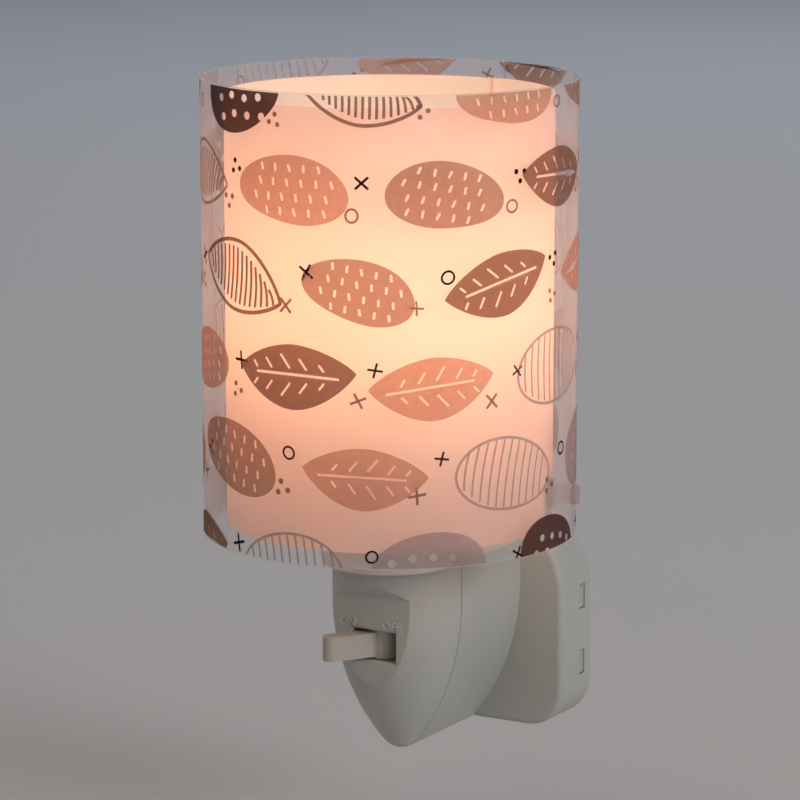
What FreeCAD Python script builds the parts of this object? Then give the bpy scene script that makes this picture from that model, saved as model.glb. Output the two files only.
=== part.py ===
import FreeCAD, Part
import math
import os
import re
import Sketcher
from FreeCAD import Rotation, Vector

# Plug-in night light. Origin: middle of the plug's rear face, midway between its pins.
# +Z is up, +Y points into the wall, -Y is the front, +X is to the right seen from the front.

doc = FreeCAD.newDocument("NightLight")
sheet = doc.addObject("Spreadsheet::Sheet", "Sizes")

driving = [
    # shade
    ("shadeDepth", 45.0),
    ("filmDiameter", 80.0),
    ("filmBottom", 28.2),
    ("filmHeight", 97.6),
    ("filmWall", 0.5),
    ("shadeGap", 4.5),
    ("diffuserRise", 2.3),
    ("diffuserHeight", 92.0),
    ("diffuserWall", 0.5),
    ("rivetTurn", 17.0),
    ("rivetRise", 9.2),
    ("rivetShank", 1.6),
    ("rivetStem", 2.0),
    ("rivetFlange", 3.3),
    ("rivetFlangePlate", 0.96),
    ("rivetHead", 1.2),
    ("rivetHeadRadius", 2.2),
    ("carrierBore", 13.4),
    ("carrierRing", 3.6),
    ("carrierPlate", 1.5),
    ("carrierWidth", 8.0),
    ("tabTop", 4.6),
    # plug base
    ("baseWidth", 51.0),
    ("baseTop", 27.8),
    ("baseDrop", 21.0),
    ("baseThickness", 13.5),
    ("baseCorner", 9.0),
    ("baseTopCorner", 19.0),
    ("baseRim", 1.2),
    ("coverThickness", 2.2),
    ("latchLevel", 7.5),
    ("latchHeight", 5.6),
    ("latchWidth", 2.5),
    ("latchInset", 2.6),
    ("latchArm", 1.5),
    ("latchHook", 3.8),
    ("wireHole", 14.0),
    ("baseScrewLevel", 12.0),
    ("baseScrewLength", 9.0),
    ("baseBossLength", 12.0),
    # plug pins
    ("pinSpacing", 19.0),
    ("pinRadius", 2.0),
    ("pinCore", 1.5),
    ("pinLength", 19.0),
    ("sleeveLength", 10.0),
    ("sleeveSeat", 0.8),
    ("pinTail", 8.5),
    ("terminalSize", 5.2),
    ("terminalLength", 5.4),
    # body
    ("bodyWidth", 30.0),
    ("bodyTop", 21.0),
    ("bodyShoulder", 12.0),
    ("bodyDrop", 21.8),
    ("noseRadius", 5.0),
    ("seamDepth", 40.0),
    ("shellWall", 2.0),
    ("panelDepth", 52.0),
    ("ledgeLevel", 14.4),
    ("seamScrewDrop", 12.3),
    ("seamSleeveLength", 6.0),
    # switch
    ("slotWidth", 10.6),
    ("slotBottom", 0.1),
    ("slotHeight", 6.7),
    ("slotBevel", 0.5),
    ("pivotDepth", 47.0),
    ("drumRadius", 3.4),
    ("leverThickness", 3.8),
    ("leverReach", 14.9),
    ("leverHeight", 5.3),
    ("leverTurn", 32.0),
    ("axleRadius", 1.2),
    ("axleGap", 0.06),
    ("framePlate", 1.4),
    ("frameWidth", 10.0),
    ("springRoom", 0.6),
    ("springThickness", 0.3),
    ("springWidth", 8.5),
    ("springHeight", 3.4),
    ("contactSpacing", 5.0),
    ("contactWidth", 1.9),
    ("contactThickness", 0.7),
    ("contactHeight", 5.0),
    # lampholder
    ("collarRadius", 14.4),
    ("collarHeight", 9.0),
    ("holderRadius", 11.6),
    ("holderHeight", 25.0),
    ("holderFloor", 2.0),
    ("spigotRadius", 6.5),
    ("spigotBore", 4.5),
    ("spigotLength", 5.0),
    ("shellRadius", 7.6),
    ("shellThickness", 0.4),
    ("buttonRadius", 1.5),
    ("buttonHeight", 1.0),
    ("clipWidth", 1.0),
    ("clipThickness", 1.4),
    # bulb
    ("tipRadius", 2.25),
    ("tipHeight", 0.6),
    ("insulatorHeight", 1.2),
    ("capRadius", 6.9),
    ("capWall", 0.4),
    ("capHeight", 20.5),
    ("bulbRadius", 12.5),
    ("neckHeight", 10.0),
    ("bulbTop", 91.0),
    ("globeWall", 0.8),
    ("boardWidth", 12.5),
    ("boardThickness", 1.6),
    ("chipSize", 4.2),
    ("chipHeight", 0.8),
    # fits
    ("clearance", 0.15),
    ("wireRadius", 0.8),
    ("screwRadius", 1.4),
    ("screwHeadRadius", 2.8),
    ("screwHeadHeight", 1.4),
    ("screwRecess", 0.7),
    ("bossRadius", 3.0),
]
for row, (alias, value) in enumerate(driving, start=1):
    sheet.set(f"A{row}", alias)
    sheet.set(f"B{row}", str(value))
    sheet.setAlias(f"B{row}", alias)
doc.recompute()


def size(alias):
    return float(getattr(sheet, alias))


def formula(text):
    """The text with each size's name read from the sheet."""
    return re.sub(r"\b([a-z][A-Za-z]+)\b", r"Sizes.\1", str(text))


def bind(thing, **rules):
    for name, text in rules.items():
        thing.setExpression(name.replace("_", "."), formula(text))


def place(thing, x=0, y=0, z=0, rotation=None):
    if rotation:
        thing.Placement.Rotation = rotation
    bind(thing, Placement_Base_x=x, Placement_Base_y=y, Placement_Base_z=z)
    return thing


ALONG = {
    "Z": None,
    "Y": Rotation(Vector(1, 0, 0), -90),
    "X": Rotation(Vector(0, 1, 0), 90),
}


def rod(name, radius, length, x=0, y=0, z=0, axis="Z"):
    """A round bar that starts at x, y, z and runs along +axis."""
    made = doc.addObject("Part::Cylinder", name)
    bind(made, Radius=radius, Height=length)
    return place(made, x, y, z, ALONG[axis])


def cone(name, lower, upper, length, x=0, y=0, z=0, axis="Z"):
    made = doc.addObject("Part::Cone", name)
    bind(made, Radius1=lower, Radius2=upper, Height=length)
    return place(made, x, y, z, ALONG[axis])


def ball(name, radius, x=0, y=0, z=0):
    made = doc.addObject("Part::Sphere", name)
    bind(made, Radius=radius)
    return place(made, x, y, z)


def block(name, wide, deep, high, x=0, y=0, z=0):
    """A box centred on x, with its front at y and its underside at z."""
    made = doc.addObject("Part::Box", name)
    bind(made, Length=wide, Width=deep, Height=high)
    return place(made, f"({x}) - ({wide}) / 2", y, z)


def fuse(name, *shapes):
    made = doc.addObject("Part::MultiFuse", name)
    made.Shapes = list(shapes)
    made.Refine = True
    return made


def cut(name, base, *tools):
    made = doc.addObject("Part::Cut", name)
    made.Base = base
    made.Tool = tools[0] if len(tools) == 1 else fuse(name + "Cutters", *tools)
    made.Refine = True
    return made


def common(name, first, second):
    made = doc.addObject("Part::MultiCommon", name)
    made.Shapes = [first, second]
    return made


def group(name, *shapes):
    """Like pieces that stay apart, kept as one object."""
    made = doc.addObject("Part::Compound", name)
    made.Links = list(shapes)
    return made


def tube(name, outer, inner, length, **where):
    return cut(
        name,
        rod(name + "Outside", outer, length, **where),
        rod(name + "Inside", inner, length, **where),
    )


def origin_plane(body, role):
    return next(f for f in body.Origin.OriginFeatures if f.Role == role)


def new_sketch(body, name, role):
    sketch = body.newObject("Sketcher::SketchObject", name)
    sketch.AttachmentSupport = (origin_plane(body, role), [""])
    sketch.MapMode = "FlatFace"
    return sketch


def dimension(sketch, text, *constraint):
    """A sketch dimension whose value follows the sheet."""
    number = sketch.addConstraint(Sketcher.Constraint(*constraint))
    sketch.setExpression(f"Constraints[{number}]", formula(text))


def nose_sketch(body, name, inset):
    """Right half of the body's outline: a straight side, a long arc and a round tip."""
    wall = size("shellWall") if inset else 0.0
    less = " - shellWall" if inset else ""
    side = size("bodyWidth") / 2 - wall
    top = size("bodyTop") - wall
    drop = size("bodyDrop") - wall
    tip = size("noseRadius") - wall
    shoulder = size("bodyShoulder")
    fall = shoulder + drop - tip
    sweep = (fall**2 + side**2 - tip**2) / (2 * (side - tip))
    lean = math.asin(fall / (sweep - tip))
    tip_centre = Vector(0, tip - drop, 0)
    sweep_centre = Vector(side - sweep, shoulder, 0)
    normal = Vector(0, 0, 1)
    sketch = new_sketch(body, name, "XZ_Plane")
    sketch.addGeometry(Part.LineSegment(Vector(0, top, 0), Vector(side, top, 0)))
    sketch.addGeometry(Part.LineSegment(Vector(side, top, 0), Vector(side, shoulder, 0)))
    sketch.addGeometry(Part.ArcOfCircle(Part.Circle(sweep_centre, normal, sweep), -lean, 0))
    sketch.addGeometry(
        Part.ArcOfCircle(Part.Circle(tip_centre, normal, tip), -math.pi / 2, -lean)
    )
    sketch.addGeometry(Part.LineSegment(Vector(0, -drop, 0), Vector(0, top, 0)))
    for joined in (
        ("Coincident", 0, 2, 1, 1),
        ("Tangent", 1, 2, 2, 2),
        ("Tangent", 2, 1, 3, 2),
        ("Coincident", 3, 1, 4, 1),
        ("Coincident", 4, 2, 0, 1),
        ("Horizontal", 0),
        ("Vertical", 1),
        ("PointOnObject", 0, 1, -2),
        ("PointOnObject", 4, 1, -2),
        ("PointOnObject", 3, 3, -2),
    ):
        sketch.addConstraint(Sketcher.Constraint(*joined))
    dimension(sketch, "bodyWidth / 2" + less, "DistanceX", -1, 1, 0, 2, side)
    dimension(sketch, "bodyTop" + less, "DistanceY", -1, 1, 0, 2, top)
    dimension(sketch, "bodyShoulder", "DistanceY", -1, 1, 1, 2, shoulder)
    dimension(sketch, "noseRadius" + less, "Radius", 3, tip)
    dimension(sketch, "bodyDrop" + less, "DistanceY", 3, 1, -1, 1, drop)
    return sketch


def nose_front(name, inset=False):
    """The outline turned about an upright axis in the seam plane, front half."""
    body = doc.addObject("PartDesign::Body", name)
    sketch = nose_sketch(body, name + "Outline", inset)
    turned = body.newObject("PartDesign::Revolution", name + "Turned")
    turned.Profile = sketch
    turned.ReferenceAxis = (sketch, ["V_Axis"])
    turned.Angle = 180
    turned.Reversed = True
    return place(body, y="-seamDepth")


def nose_rear(name, inset=False):
    """The outline run straight back from the seam plane to the plug base."""
    body = doc.addObject("PartDesign::Body", name)
    sketch = nose_sketch(body, name + "Outline", inset)
    pad = body.newObject("PartDesign::Pad", name + "Pad")
    pad.Profile = sketch
    pad.Reversed = True
    bind(pad, Length="seamDepth - baseThickness")
    mirrored = body.newObject("PartDesign::Mirrored", name + "Mirrored")
    mirrored.Originals = [pad]
    mirrored.MirrorPlane = (origin_plane(body, "YZ_Plane"), [""])
    body.Tip = mirrored
    return place(body, y="-seamDepth")


def edges_where(shape, test):
    return [f"Edge{i}" for i, edge in enumerate(shape.Edges, start=1) if test(edge)]


def rounding(body, base, name, radius, test):
    doc.recompute()
    fillet = body.newObject("PartDesign::Fillet", name)
    fillet.Base = (base, edges_where(base.Shape, test))
    bind(fillet, Radius=radius)
    return fillet


def base_block(name, inset, length, rim=None):
    """A block of the plug base's outline, drawn in by inset, from the wall forwards."""
    body = doc.addObject("PartDesign::Body", name)
    half = f"baseWidth / 2 - ({inset})"
    sketch = new_sketch(body, name + "Outline", "XZ_Plane")
    corners = [(-20, -20), (20, -20), (20, 20), (-20, 20)]
    for here, there in zip(corners, corners[1:] + corners[:1]):
        sketch.addGeometry(Part.LineSegment(Vector(*here, 0), Vector(*there, 0)))
    for line in range(4):
        sketch.addConstraint(
            Sketcher.Constraint("Coincident", line, 2, (line + 1) % 4, 1)
        )
    for kind, line in (("Horizontal", 0), ("Vertical", 1), ("Horizontal", 2), ("Vertical", 3)):
        sketch.addConstraint(Sketcher.Constraint(kind, line))
    dimension(sketch, half, "DistanceX", -1, 1, 0, 2, 20)
    dimension(sketch, half, "DistanceX", 0, 1, -1, 1, 20)
    dimension(sketch, f"baseDrop - ({inset})", "DistanceY", 0, 1, -1, 1, 20)
    dimension(sketch, f"baseTop - ({inset})", "DistanceY", -1, 1, 1, 2, 20)
    pad = body.newObject("PartDesign::Pad", name + "Pad")
    pad.Profile = sketch
    bind(pad, Length=length)

    def upright(edge, above):
        ends = [v.Point for v in edge.Vertexes]
        straight = abs(ends[0].x - ends[1].x) + abs(ends[0].z - ends[1].z) < 1e-6
        return straight and (ends[0].z > 0) == above

    lower = rounding(
        body, pad, name + "Lower", f"baseCorner - ({inset})", lambda e: upright(e, False)
    )
    last = rounding(
        body, lower, name + "Upper", f"baseTopCorner - ({inset})", lambda e: upright(e, True)
    )
    if rim:
        doc.recompute()
        front = -last.Shape.BoundBox.YLength
        last = rounding(
            body,
            last,
            name + "Rim",
            rim,
            lambda e: all(abs(v.Point.y - front) < 1e-6 for v in e.Vertexes),
        )
    body.Tip = last
    return body


def side_shape(name, wide, points):
    """A prism across X with the outline that points gives in Y and Z, centred on X."""
    body = doc.addObject("PartDesign::Body", name)
    sketch = new_sketch(body, name + "Outline", "YZ_Plane")
    values = [[float(sheet_value(t)) for t in point] for point in points]
    count = len(points)
    for i, (here, there) in enumerate(zip(values, values[1:] + values[:1])):
        sketch.addGeometry(Part.LineSegment(Vector(*here, 0), Vector(*there, 0)))
    for i in range(count):
        sketch.addConstraint(Sketcher.Constraint("Coincident", i, 2, (i + 1) % count, 1))
    for i, (across, up) in enumerate(points):
        for kind, text, value in (
            ("DistanceX", across, values[i][0]),
            ("DistanceY", up, values[i][1]),
        ):
            if value >= 0:
                dimension(sketch, text, kind, -1, 1, i, 1, value)
            else:
                dimension(sketch, f"-({text})", kind, i, 1, -1, 1, -value)
    pad = body.newObject("PartDesign::Pad", name + "Pad")
    pad.Profile = sketch
    pad.SideType = "Symmetric"
    bind(pad, Length=wide)
    return body


def sheet_value(text):
    """The number that a formula of sheet names has now."""
    names = {alias: size(alias) for alias, _ in driving}
    total = 0.0
    for sign, word in re.findall(r"([+-]?)\s*([A-Za-z]+|[\d.]+)", str(text)):
        number = names[word] if word in names else float(word)
        total += -number if sign == "-" else number
    return total


def wire(name, points, radius):
    """A round insulated lead along straight runs joined by tangent arcs."""
    path, here = [], Vector(*points[0])
    for before, corner, after in zip(points, points[1:], points[2:]):
        before, corner, after = Vector(*before), Vector(*corner), Vector(*after)
        back, ahead = before - corner, after - corner
        turn = math.pi - back.getAngle(ahead)
        shorter = min(back.Length, ahead.Length)
        reach = 0.45 * shorter
        bend = reach / math.tan(turn / 2)
        print(f"{name}: bend radius {bend:.1f} mm")
        start = corner + back.normalize() * reach
        end = corner + ahead.normalize() * reach
        middle = (start + end) / 2
        inward = (middle - corner).normalize()
        centre = corner + inward * (bend / math.cos(turn / 2))
        path.append(Part.LineSegment(here, start).toShape())
        path.append(Part.Arc(start, centre - inward * bend, end).toShape())
        here = end
    path.append(Part.LineSegment(here, Vector(*points[-1])).toShape())
    line = Part.Wire(path)
    first = Vector(*points[1]) - Vector(*points[0])
    ring = Part.Wire(Part.Circle(Vector(*points[0]), first, radius).toShape())
    made = doc.addObject("Part::Feature", name)
    made.Shape = line.makePipeShell([ring], True, True)
    expected = math.pi * radius**2 * line.Length
    print(f"{name}: length {line.Length:.1f} mm, volume ratio {made.Shape.Volume / expected:.4f}")
    return made


# Two shells of the body, split by the upright seam plane

holder_place = {"x": "0", "y": "-shadeDepth"}


def holder_hole(name):
    """The spigot's way through the top wall, wider below it for the clip."""
    through = rod(
        name + "Through",
        "spigotRadius + clearance",
        "spigotLength * 2",
        z="bodyTop - spigotLength - clearance",
        **holder_place,
    )
    wider = rod(
        name + "Wider",
        "spigotRadius + clipWidth + clearance",
        "clipThickness + clearance",
        z="bodyTop - shellWall - clipThickness - clearance",
        **holder_place,
    )
    return fuse(name, through, wider)


def front_housing():
    hollow = cut(
        "FrontHollow",
        nose_front("FrontCavity", inset=True),
        block(
            "PanelBacking",
            "bodyWidth",
            "bodyWidth",
            "bodyTop + bodyDrop",
            y="shellWall - panelDepth - bodyWidth",
            z="-bodyDrop",
        ),
    )
    panel = side_shape(
        "PanelRecess",
        "bodyWidth",
        [
            ("-panelDepth", "-bodyDrop"),
            ("-panelDepth", "ledgeLevel"),
            ("-panelDepth - bodyWidth", "ledgeLevel + bodyWidth"),
            ("-panelDepth - bodyWidth", "-bodyDrop"),
        ],
    )
    slot = block(
        "SwitchSlot",
        "slotWidth",
        "shellWall * 4",
        "slotHeight",
        y="-panelDepth - shellWall * 2",
        z="slotBottom",
    )
    bevel = doc.addObject("Part::Wedge", "SlotBevel")
    bind(
        bevel,
        Xmin="-slotWidth / 2 - slotBevel * 2",
        Xmax="slotWidth / 2 + slotBevel * 2",
        Ymin="-slotBevel",
        Ymax="slotBevel",
        Zmin="-slotBevel * 2",
        Zmax="slotHeight + slotBevel * 2",
        X2min="-slotWidth / 2",
        X2max="slotWidth / 2",
        Z2min="0",
        Z2max="slotHeight",
    )
    place(bevel, y="-panelDepth", z="slotBottom")
    shell = cut(
        "FrontShell",
        nose_front("FrontSolid"),
        hollow,
        panel,
        slot,
        bevel,
        holder_hole("FrontHolderHole"),
    )
    boss = rod(
        "SeamBoss",
        "bossRadius",
        "panelDepth - seamDepth - shellWall",
        y="shellWall - panelDepth",
        z="-seamScrewDrop",
        axis="Y",
    )
    inside = common("SeamBossInside", nose_front("FrontTrim"), boss)
    pilot = rod(
        "SeamPilot",
        "screwRadius + clearance",
        "panelDepth - seamDepth - shellWall",
        y="shellWall * 2 - panelDepth",
        z="-seamScrewDrop",
        axis="Y",
    )
    return cut("FrontHousing", fuse("FrontWithBoss", shell, inside), pilot)


def base_screw_places():
    """Each boss bites a little into the body's side wall, so that it stands on it."""
    return [
        (sign, f"{sign}(bodyWidth / 2 - shellWall - bossRadius + clearance * 2)")
        for sign in "-+"
    ]


def rear_housing():
    shell = cut(
        "RearShell",
        nose_rear("RearSolid"),
        nose_rear("RearCavity", inset=True),
        holder_hole("RearHolderHole"),
    )
    length = "seamDepth - baseThickness"
    bosses = [
        rod(
            "SeamSleeve",
            "bossRadius",
            "seamSleeveLength",
            y="-seamDepth",
            z="-seamScrewDrop",
            axis="Y",
        ),
        block(
            "SeamRib",
            "shellWall",
            "seamSleeveLength",
            "bodyDrop - seamScrewDrop",
            y="-seamDepth",
            z="-bodyDrop",
        ),
    ]
    holes = [
        rod(
            "SeamSleeveHole",
            "screwRadius + clearance",
            length,
            y="-seamDepth",
            z="-seamScrewDrop",
            axis="Y",
        )
    ]
    for sign, x in base_screw_places():
        side = "Left" if sign == "-" else "Right"
        where = {"x": x, "y": "-baseThickness - baseBossLength", "z": "baseScrewLevel"}
        bosses.append(rod(f"BaseBoss{side}", "bossRadius", "baseBossLength", axis="Y", **where))
        holes.append(
            rod(f"BasePilot{side}", "screwRadius + clearance", "baseBossLength", axis="Y", **where)
        )
    inside = common("RearBossesInside", nose_rear("RearTrim"), fuse("RearBosses", *bosses))
    return cut("RearHousing", fuse("RearWithBosses", shell, inside), *holes)


# The plug base: a rounded block, its rear cover, pins, sleeves and terminals


def latch_places():
    return [
        (f"{side}{level}", x_sign, z_sign)
        for side, x_sign in (("Left", "-"), ("Right", "+"))
        for level, z_sign in (("Lower", "-"), ("Upper", "+"))
    ]


def latch_block(name, x_sign, z_sign, reach, slack):
    """Fills or cuts one latch window, running inwards from the base's side."""
    return block(
        name,
        reach,
        f"latchWidth - ({slack}) * 2",
        f"latchHeight - ({slack}) * 2",
        x=f"{x_sign}(baseWidth / 2 - ({reach}) / 2)",
        y=f"-latchInset - latchWidth + ({slack})",
        z=f"{z_sign}latchLevel - latchHeight / 2 + ({slack})",
    )


def plug_base():
    cavity = base_block("BaseCavity", "shellWall", "baseThickness - shellWall")
    windows = [
        latch_block(f"Window{name}", x_sign, z_sign, "shellWall * 2", "0")
        for name, x_sign, z_sign in latch_places()
    ]
    passage = block(
        "WirePassage",
        "wireHole",
        "shellWall * 3",
        "wireHole",
        y="-baseThickness - shellWall",
        z="-wireHole / 2",
    )
    screw_holes = [
        rod(
            f"ScrewHole{'Left' if sign == '-' else 'Right'}",
            "screwRadius + clearance",
            "shellWall * 3",
            x=x,
            y="-baseThickness - shellWall",
            z="baseScrewLevel",
            axis="Y",
        )
        for sign, x in base_screw_places()
    ]
    solid = base_block("BaseSolid", "0", "baseThickness", rim="baseRim")
    return cut("PlugBase", solid, cavity, passage, *windows, *screw_holes)


def plug_rear_cover():
    plate = base_block("CoverPlate", "shellWall + clearance", "coverThickness")
    pieces = [plate]
    for name, x_sign, z_sign in latch_places():
        pieces.append(
            block(
                f"LatchArm{name}",
                "latchArm",
                "latchInset + latchWidth + clearance - coverThickness / 2",
                "latchHeight - clearance * 4",
                x=f"{x_sign}(baseWidth / 2 - shellWall - clearance - latchArm / 2)",
                y="-latchInset - latchWidth - clearance",
                z=f"{z_sign}latchLevel - latchHeight / 2 + clearance * 2",
            )
        )
        hook = block(
            f"LatchHook{name}",
            "latchHook",
            "latchWidth - clearance * 2",
            "latchHeight - clearance * 4",
            x=f"{x_sign}(baseWidth / 2 - shellWall - clearance)",
            y="-latchInset - latchWidth + clearance",
            z=f"{z_sign}latchLevel - latchHeight / 2 + clearance * 2",
        )
        pieces.append(hook)
    holes = []
    for side, sign in (("Left", "-"), ("Right", "+")):
        where = {"x": f"{sign}pinSpacing / 2", "axis": "Y"}
        through = ("pinCore + clearance / 3", "coverThickness * 3", "-coverThickness * 2")
        seat = ("pinRadius + clearance / 3", "sleeveSeat * 2", "-sleeveSeat")
        for part, (radius, length, y) in (("Through", through), ("Seat", seat)):
            holes.append(rod(f"CoverPin{part}{side}", radius, length, y=y, **where))
    return cut("PlugRearCover", fuse("CoverWithLatches", *pieces), *holes)


def plug_pin(side, sign):
    """A round contact pin: a narrow core, a full-width bare tip and a domed end."""
    where = {"x": f"{sign}pinSpacing / 2", "axis": "Y"}
    core = rod(f"PinCore{side}", "pinCore", "pinTail + sleeveLength", y="-pinTail", **where)
    tip = rod(
        f"PinTip{side}",
        "pinRadius",
        "pinLength - sleeveLength - pinRadius / 2",
        y="sleeveLength",
        **where,
    )
    end = cone(
        f"PinEnd{side}",
        "pinRadius",
        "pinRadius / 2",
        "pinRadius / 2",
        y="pinLength - pinRadius / 2",
        **where,
    )
    return fuse(f"PlugPin{side}", core, tip, end)


def both_sides(name, make):
    return group(name, *(make(side, sign) for side, sign in (("Left", "-"), ("Right", "+"))))


def pin_sleeve(side, sign):
    """The insulating sleeve, flush with the pin's bare end."""
    return tube(
        f"PinSleeve{side}",
        "pinRadius",
        "pinCore",
        "sleeveLength",
        x=f"{sign}pinSpacing / 2",
        axis="Y",
    )


def pin_terminal(side, sign):
    """A brass block clamped on the pin's tail, behind the rear cover."""
    body = block(
        f"TerminalBlock{side}",
        "terminalSize",
        "terminalLength",
        "terminalSize",
        x=f"{sign}pinSpacing / 2",
        y="-coverThickness - clearance - terminalLength",
        z="-terminalSize / 2",
    )
    bore = rod(
        f"TerminalBore{side}",
        "pinCore",
        "terminalLength * 3",
        x=f"{sign}pinSpacing / 2",
        y="-terminalLength * 2",
        axis="Y",
    )
    return cut(f"Terminal{side}", body, bore)


# The switch: a lever on an upright axle, its frame, leaf spring and contacts

SLOT_MIDDLE = "slotBottom + slotHeight / 2"


def switch_lever():
    """Drum, axle stubs and arm. Built pointing forwards, then turned to ON."""
    drum = rod("Drum", "drumRadius", "slotHeight - clearance * 2", z="clearance - slotHeight / 2")
    arm = block(
        "Arm",
        "leverThickness",
        "leverReach - leverThickness / 2",
        "leverHeight",
        y="leverThickness / 2 - leverReach",
        z="-leverHeight / 2",
    )
    end = rod(
        "ArmEnd",
        "leverThickness / 2",
        "leverHeight",
        y="leverThickness / 2 - leverReach",
        z="-leverHeight / 2",
    )
    axle = rod(
        "Axle",
        "axleRadius",
        "slotHeight + clearance * 2 + framePlate * 2",
        z="-slotHeight / 2 - clearance - framePlate",
    )
    lever = fuse("SwitchLever", drum, arm, end, axle)
    lever.Placement.Rotation = Rotation(Vector(0, 0, 1), -size("leverTurn"))
    bind(lever, Placement_Rotation_Angle="-leverTurn")
    lever.Placement.Rotation.Axis = Vector(0, 0, 1)
    return place(lever, y="-pivotDepth", z=SLOT_MIDDLE)


def frame_back():
    """Where the frame's back wall starts, behind the drum and the leaf spring."""
    return "drumRadius + springRoom - pivotDepth"


def switch_frame():
    """Two plates that hold the axle's ends, on one back wall."""
    front = "shellWall - panelDepth + clearance"
    deep = f"{frame_back()} + framePlate - ({front})"
    plates = []
    for name, z in (
        ("Lower", "slotBottom - clearance - framePlate"),
        ("Upper", "slotBottom + slotHeight + clearance"),
    ):
        plates.append(block(f"FramePlate{name}", "frameWidth", deep, "framePlate", y=front, z=z))
    back = block(
        "FrameBack",
        "frameWidth",
        "framePlate",
        "slotHeight + clearance * 2 + framePlate * 2",
        y=frame_back(),
        z="slotBottom - clearance - framePlate",
    )
    bore = rod(
        "AxleBore",
        "axleRadius + axleGap",
        "bodyWidth",
        y="-pivotDepth",
        z=f"{SLOT_MIDDLE} - bodyWidth / 2",
    )
    return cut("SwitchFrame", fuse("FrameSolid", *plates, back), bore)


def switch_contacts():
    """Two brass strips on the frame's back wall, one for each lead."""
    return both_sides(
        "SwitchContacts",
        lambda side, sign: block(
            f"Contact{side}",
            "contactWidth",
            "contactThickness",
            "contactHeight",
            x=f"{sign}contactSpacing / 2",
            y=f"{frame_back()} + framePlate",
            z="slotBottom + clearance",
        ),
    )


def switch_leaf_spring():
    """A thin strip on the back wall that clicks against the drum."""
    return block(
        "LeafSpring",
        "springWidth",
        "springThickness",
        "springHeight",
        y=f"{frame_back()} - springThickness",
        z=f"{SLOT_MIDDLE} - springHeight / 2",
    )


# The lampholder: a moulded tube with a spigot in the body, its collar, shell and contact


def lampholder_body():
    tube_outside = rod("HolderTube", "holderRadius", "holderHeight", z="bodyTop", **holder_place)
    spigot = rod(
        "HolderSpigot",
        "spigotRadius",
        "spigotLength + clearance",
        z="bodyTop - spigotLength",
        **holder_place,
    )
    socket = rod(
        "HolderSocket",
        "shellRadius + clearance / 2",
        "holderHeight",
        z="bodyTop + holderFloor",
        **holder_place,
    )
    throat = rod(
        "HolderThroat",
        "spigotBore",
        "spigotLength + holderFloor * 2",
        z="bodyTop - spigotLength - clearance",
        **holder_place,
    )
    return cut("LampholderBody", fuse("HolderSolid", tube_outside, spigot), socket, throat)


def lampholder_collar():
    """The smooth skirt round the lampholder that the shade's carrier stands on."""
    outside = rod("CollarOutside", "collarRadius", "collarHeight", z="bodyTop", **holder_place)
    inside = rod(
        "CollarInside", "holderRadius + clearance / 3", "collarHeight", z="bodyTop", **holder_place
    )
    return cut("LampholderCollar", outside, inside)


def lampholder_shell():
    """The threaded brass sleeve, standing on the holder's floor."""
    ring = tube(
        "ShellRing",
        "shellRadius",
        "shellRadius - shellThickness",
        "holderHeight - holderFloor * 2",
        z="bodyTop + holderFloor",
        **holder_place,
    )
    foot = tube(
        "ShellFoot",
        "shellRadius",
        "spigotBore + clearance",
        "shellThickness",
        z="bodyTop + holderFloor",
        **holder_place,
    )
    return fuse("LampholderShell", ring, foot)


def lampholder_contact():
    """The middle contact: a round button on a stem through an insulating plug."""
    stem = rod(
        "ContactStem",
        "spigotBore - clearance / 3",
        "spigotLength + holderFloor",
        z="bodyTop - spigotLength",
        **holder_place,
    )
    button = rod(
        "ContactButton",
        "buttonRadius",
        "buttonHeight",
        z="bodyTop + holderFloor",
        **holder_place,
    )
    return fuse("LampholderContact", stem, button)


def lampholder_clip():
    """A spring washer pressed on the spigot, under the body's top wall."""
    return tube(
        "LampholderClip",
        "spigotRadius + clipWidth",
        "spigotRadius + clearance / 3",
        "clipThickness",
        z="bodyTop - shellWall - clipThickness",
        **holder_place,
    )


# Leads between the terminals, the switch and the lampholder


def leads():
    thick = size("wireRadius")
    pin_x = size("pinSpacing") / 2
    terminal_x = pin_x - size("terminalSize") / 2 - size("clearance")
    tail_y = -(size("coverThickness") + size("terminalLength") / 2)
    contact_x = size("contactSpacing") / 2
    contact_y = sheet_value(f"{frame_back()} + framePlate + contactThickness + clearance")
    contact_z = size("slotBottom") + size("clearance") + size("contactHeight") / 2
    holder_y = -size("shadeDepth")
    holder_z = size("bodyTop") - size("spigotLength") - size("clearance")
    hang = size("spigotLength")
    middle_y = (contact_y + tail_y) / 2
    live = [
        (-terminal_x, tail_y, 0),
        (-contact_x, tail_y, 0),
        (-contact_x, middle_y, 0),
        (-contact_x, contact_y, contact_z),
    ]
    neutral = [
        (terminal_x, tail_y, 0),
        (contact_x, tail_y, 0),
        (contact_x, middle_y, 0),
        (contact_x, contact_y + hang * 1.2, contact_z + hang * 2.4),
        (contact_x * 0.7, holder_y + thick * 2, holder_z - hang * 0.5),
        (contact_x * 0.7, holder_y + thick * 2, holder_z),
    ]
    switched = [
        (contact_x, contact_y + thick * 0.5, contact_z),
        (contact_x, contact_y + hang * 0.7, contact_z + hang * 0.5),
        (-contact_x, contact_y + hang * 0.8, contact_z + hang * 1.4),
        (-contact_x * 0.7, holder_y + thick * 2, holder_z - hang * 0.5),
        (-contact_x * 0.7, holder_y + thick * 2, holder_z),
    ]
    return {
        "live_wire": wire("LiveWire", live, thick),
        "neutral_wire": wire("NeutralWire", neutral, thick),
        "switch_wire": wire("SwitchWire", switched, thick),
    }


# Screws


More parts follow.
